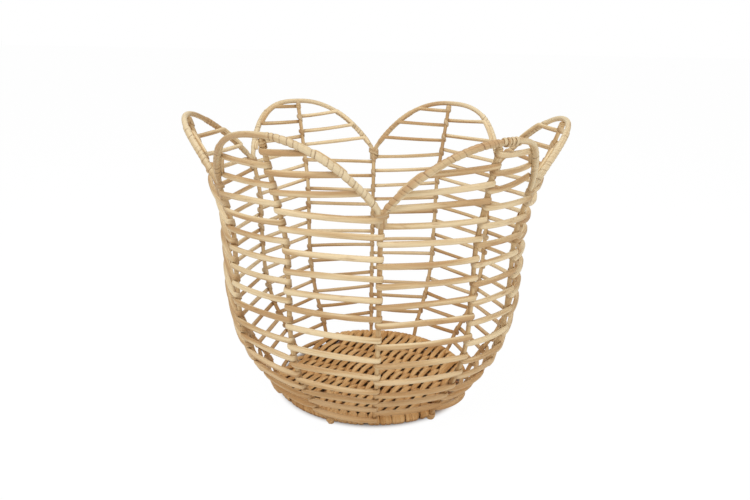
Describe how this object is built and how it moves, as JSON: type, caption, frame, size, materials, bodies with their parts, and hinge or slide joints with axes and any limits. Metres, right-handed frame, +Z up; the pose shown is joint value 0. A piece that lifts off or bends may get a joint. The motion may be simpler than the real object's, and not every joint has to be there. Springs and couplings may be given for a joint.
{
  "type": "petal-rimmed open-weave cane basket",
  "caption": "Open-weave cane basket shaped like a tulip bloom, with scalloped petal rims, upright stakes, a spiral-woven wall and a flat woven base.",
  "frame": {"origin": "middle of the footprint, on the plane that the base stands on", "axes": "+Z up out of the mouth, -Y towards the valley that faces the front, +X to the right of it"},
  "size_m": [0.3985, 0.3802, 0.3047],
  "materials": {
    "stake_cane": "peeled rattan rod, satin",
    "strand_cane": "peeled rattan strand, satin",
    "rim_cane": "rattan rod bound with split cane, satin",
    "base_cane": "peeled rattan strand, satin"
  },
  "bodies": {
    "root": {"petal_stake_1": "stake_cane", "valley_stake_1": "stake_cane", "petal_rim_1": "rim_cane", "wall_weaver_1": "strand_cane", "petal_row_top_1": "strand_cane", "petal_row_upper_1": "strand_cane", "petal_row_lower_1": "strand_cane", "valley_lashing_1": "rim_cane", "petal_stake_2": "stake_cane", "valley_stake_2": "stake_cane", "petal_rim_2": "rim_cane", "wall_weaver_2": "strand_cane", "petal_row_top_2": "strand_cane", "petal_row_upper_2": "strand_cane", "petal_row_lower_2": "strand_cane", "valley_lashing_2": "rim_cane", "petal_stake_3": "stake_cane", "valley_stake_3": "stake_cane", "petal_rim_3": "rim_cane", "wall_weaver_3": "strand_cane", "petal_row_top_3": "strand_cane", "petal_row_upper_3": "strand_cane", "petal_row_lower_3": "strand_cane", "valley_lashing_3": "rim_cane", "petal_stake_4": "stake_cane", "valley_stake_4": "stake_cane", "petal_rim_4": "rim_cane", "wall_weaver_4": "strand_cane", "petal_row_top_4": "strand_cane", "petal_row_upper_4": "strand_cane", "petal_row_lower_4": "strand_cane", "valley_lashing_4": "rim_cane", "petal_stake_5": "stake_cane", "valley_stake_5": "stake_cane", "petal_rim_5": "rim_cane", "wall_weaver_5": "strand_cane", "petal_row_top_5": "strand_cane", "petal_row_upper_5": "strand_cane", "petal_row_lower_5": "strand_cane", "valley_lashing_5": "rim_cane", "petal_stake_6": "stake_cane", "valley_stake_6": "stake_cane", "petal_rim_6": "rim_cane", "wall_weaver_6": "strand_cane", "petal_row_top_6": "strand_cane", "petal_row_upper_6": "strand_cane", "petal_row_lower_6": "strand_cane", "valley_lashing_6": "rim_cane", "base_hoop": "stake_cane", "base_rod_1": "stake_cane", "base_rod_2": "stake_cane", "base_rod_3": "stake_cane", "base_rod_4": "stake_cane", "base_rod_5": "stake_cane", "base_rod_6": "stake_cane", "base_rod_7": "stake_cane", "base_weaver_1": "base_cane", "base_weaver_2": "base_cane", "base_weaver_3": "base_cane", "base_weaver_4": "base_cane"}
  },
  "joints": []
}
